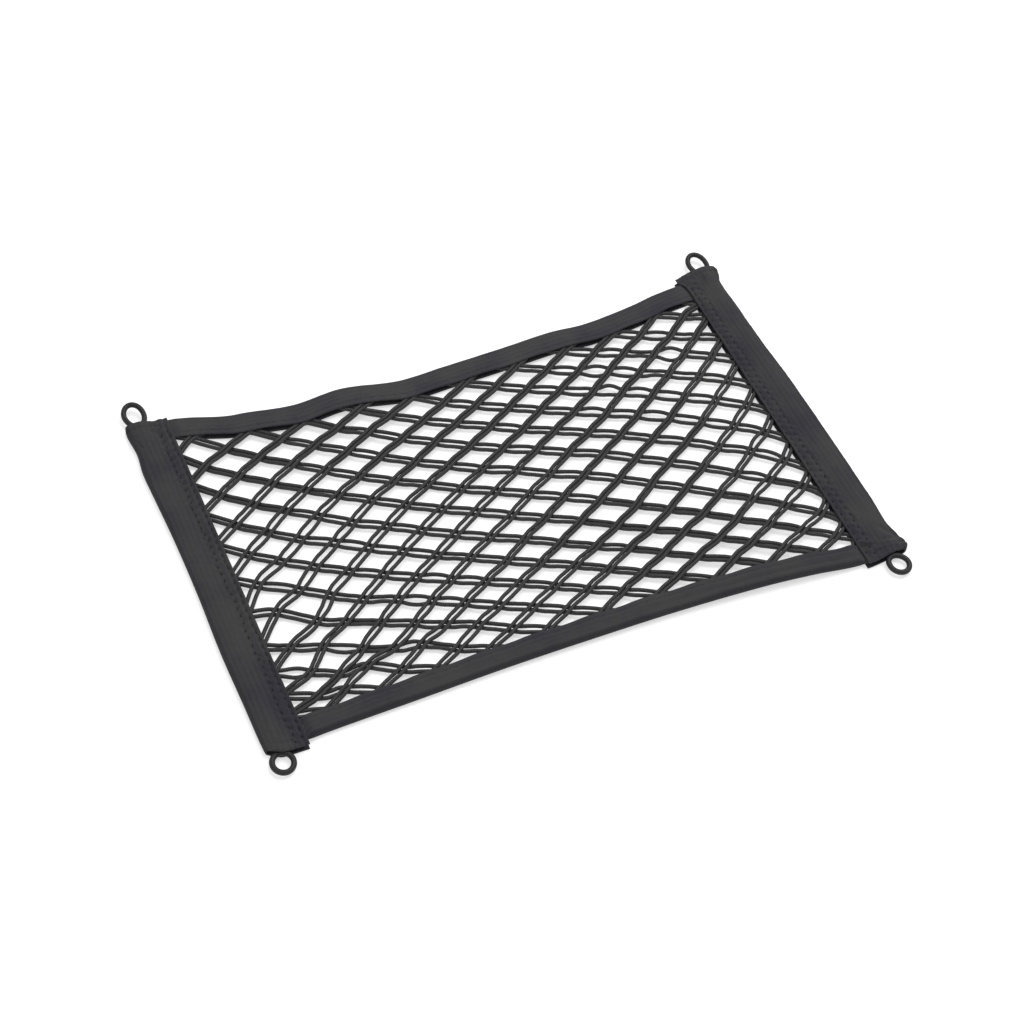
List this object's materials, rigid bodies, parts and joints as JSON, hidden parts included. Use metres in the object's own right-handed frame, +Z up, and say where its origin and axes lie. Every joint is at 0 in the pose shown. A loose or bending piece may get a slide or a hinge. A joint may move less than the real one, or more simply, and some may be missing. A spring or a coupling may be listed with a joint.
{
  "type": "cargo net",
  "caption": "Flat elastic cargo net of doubled cord with taped long edges, webbing sleeves at both ends and a wire rod with round eyes in each sleeve, lying loose.",
  "frame": {"origin": "on the surface that the net lies on, under the middle of its box", "axes": "+X from the left rod to the right rod, +Y from the front tape to the back tape, +Z up"},
  "size_m": [0.3748, 0.2636, 0.0079],
  "materials": {
    "elastic_cord": "braided elastic cord, black, slight sheen",
    "webbing": "woven polyester webbing, charcoal, matt",
    "coated_wire": "black plastic coated wire, satin"
  },
  "bodies": {
    "root": {"net": "elastic_cord", "back_tape": "webbing", "front_tape": "webbing", "left_sleeve": "webbing", "right_sleeve": "webbing", "left_rod": "coated_wire", "right_rod": "coated_wire"}
  },
  "joints": []
}
